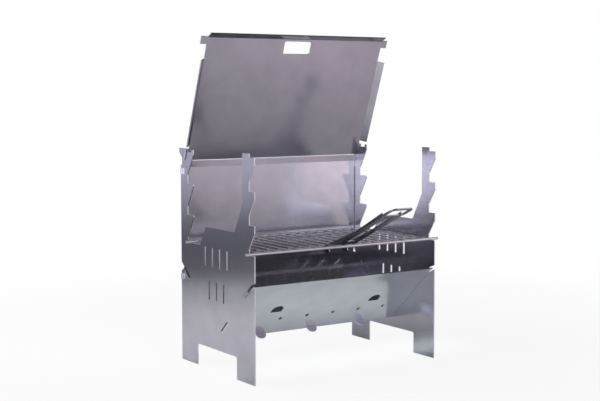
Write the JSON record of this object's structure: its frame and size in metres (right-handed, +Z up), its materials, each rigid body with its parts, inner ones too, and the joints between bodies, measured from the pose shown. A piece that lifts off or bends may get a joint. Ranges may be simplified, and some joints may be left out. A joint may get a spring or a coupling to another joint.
{
  "type": "charcoal grill",
  "caption": "Plug-together sheet-metal charcoal grill: two notched side plates, V-shaped tray, wire grate, leaning lid and a hooked lifter.",
  "frame": {"origin": "on the ground under the middle of the bounding box of the whole grill with its lid leaning and its lifter hooked on", "axes": "+Z up, +Y from the open front to the back panel, +X to the viewer's right when facing the front"},
  "size_m": [0.424, 0.4504, 0.6097],
  "materials": {
    "sheet_steel": "cold-rolled, softly mirroring",
    "wire_steel": "drawn wire, smooth",
    "lifter_steel": "cold-rolled, softly mirroring"
  },
  "bodies": {
    "trough": {"tray_front_sheet": "sheet_steel", "tray_rear_sheet": "sheet_steel", "back_panel": "sheet_steel"},
    "left_side": {"left_side_plate": "sheet_steel"},
    "right_side": {"right_side_plate": "sheet_steel"},
    "lid": {"lid": "sheet_steel"},
    "grate": {"grate_front_rail": "wire_steel", "grate_rear_rail": "wire_steel", "grate_bar_01": "wire_steel", "grate_bar_02": "wire_steel", "grate_bar_03": "wire_steel", "grate_bar_04": "wire_steel", "grate_bar_05": "wire_steel", "grate_bar_06": "wire_steel", "grate_bar_07": "wire_steel", "grate_bar_08": "wire_steel", "grate_bar_09": "wire_steel", "grate_bar_10": "wire_steel", "grate_bar_11": "wire_steel", "grate_bar_12": "wire_steel", "grate_bar_13": "wire_steel", "grate_bar_14": "wire_steel", "grate_bar_15": "wire_steel", "grate_bar_16": "wire_steel", "grate_bar_17": "wire_steel", "grate_bar_18": "wire_steel", "grate_front_cross_rod": "wire_steel", "grate_rear_cross_rod": "wire_steel"},
    "lifter": {"lifter": "lifter_steel"}
  },
  "joints": [
    {"name": "left_side_pull", "type": "slide", "parent": "trough", "child": "left_side", "axis": [-1, 0, 0], "range_m": [0, 0.03]},
    {"name": "right_side_pull", "type": "slide", "parent": "trough", "child": "right_side", "axis": [1, 0, 0], "range_m": [0, 0.03]},
    {"name": "lid_lift", "type": "slide", "parent": "trough", "child": "lid", "axis": [0, -0.342, 0.9397], "range_m": [0, 0.08]},
    {"name": "grate_lift", "type": "slide", "parent": "trough", "child": "grate", "axis": [0, -0.5, 0.866], "range_m": [0, 0.16]},
    {"name": "lifter_swing", "type": "hinge", "parent": "grate", "child": "lifter", "pos_m": [-0.022, -0.03432, 0.2278], "axis": [-1, 0, 0], "range_deg": [-45, 45]}
  ]
}
